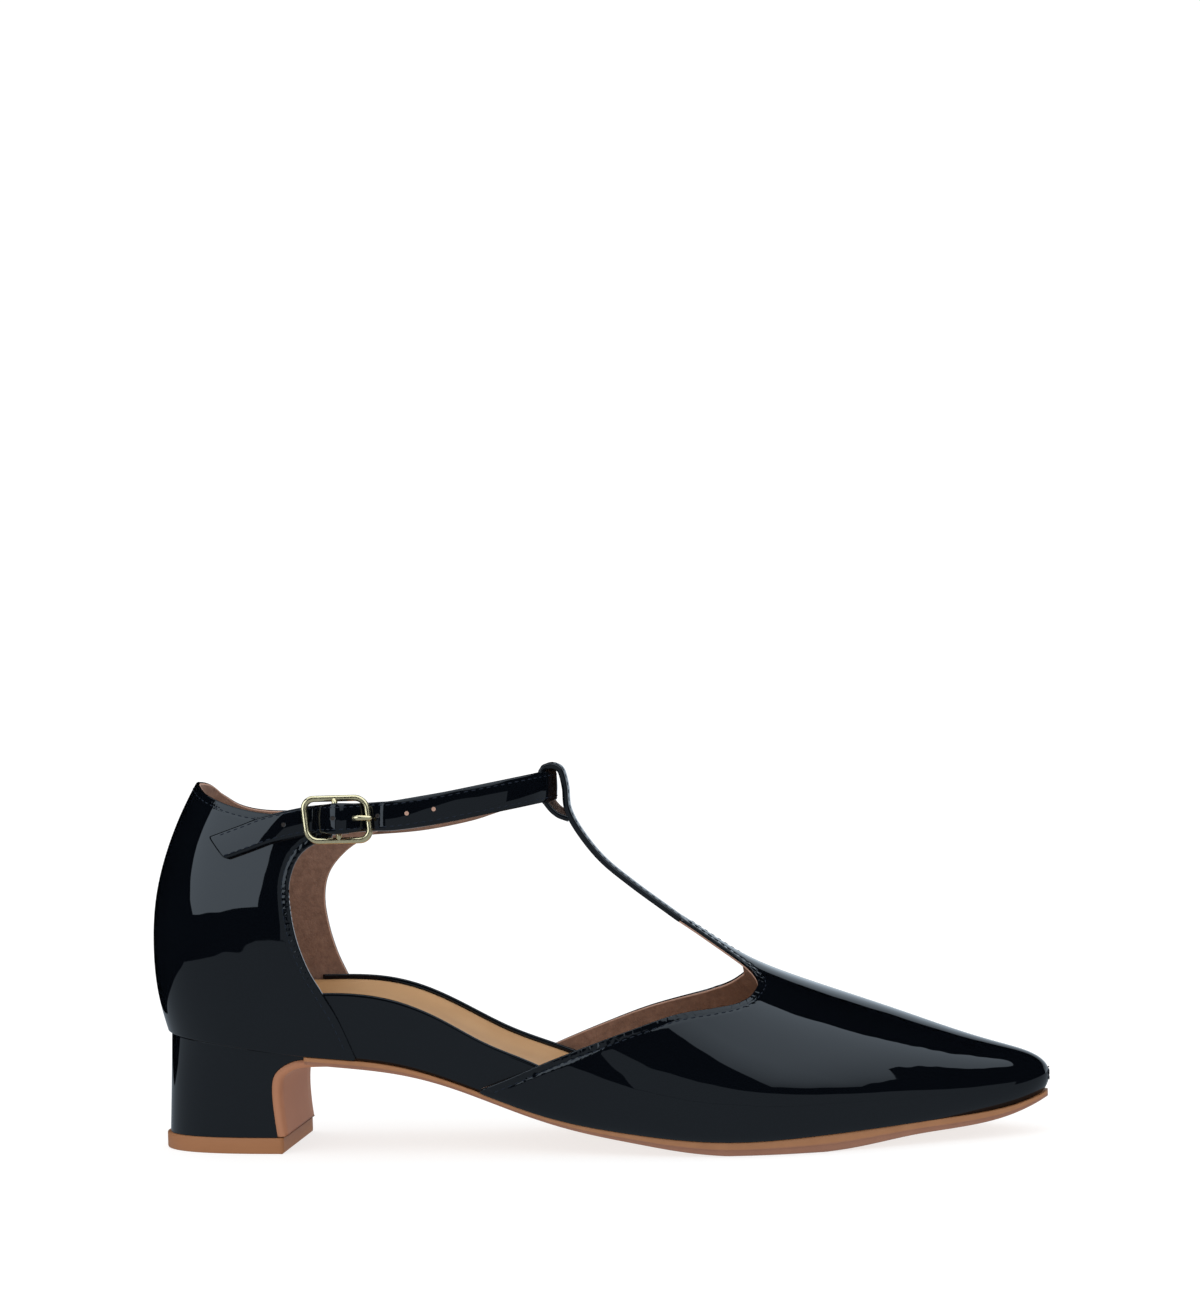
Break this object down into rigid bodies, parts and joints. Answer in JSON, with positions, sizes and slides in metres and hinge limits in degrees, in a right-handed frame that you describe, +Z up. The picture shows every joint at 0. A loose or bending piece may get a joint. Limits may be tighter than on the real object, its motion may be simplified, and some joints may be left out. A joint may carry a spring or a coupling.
{
  "type": "t-strap pump",
  "caption": "Women's right T-strap pump with a pointed toe, open sides, a buckled ankle strap and a low block heel",
  "frame": {"origin": "on the floor, under the middle of the shoe's bounding box", "axes": "+X towards the toe, +Y towards the inner (medial) side, +Z up"},
  "size_m": [0.2548, 0.0824, 0.1075],
  "materials": {
    "patent": "mirror-gloss navy patent with a taupe lining",
    "sole": "matt tan sole edge",
    "insole": "smooth golden tan leather",
    "metal": "polished pale gold"
  },
  "bodies": {
    "root": {"outsole": "sole", "heel_block": "patent", "top_lift": "sole", "insole": "insole", "upper": "patent", "ankle_strap": "patent", "buckle_tab": "patent", "buckle_frame": "metal", "buckle_prong": "metal"}
  },
  "joints": []
}
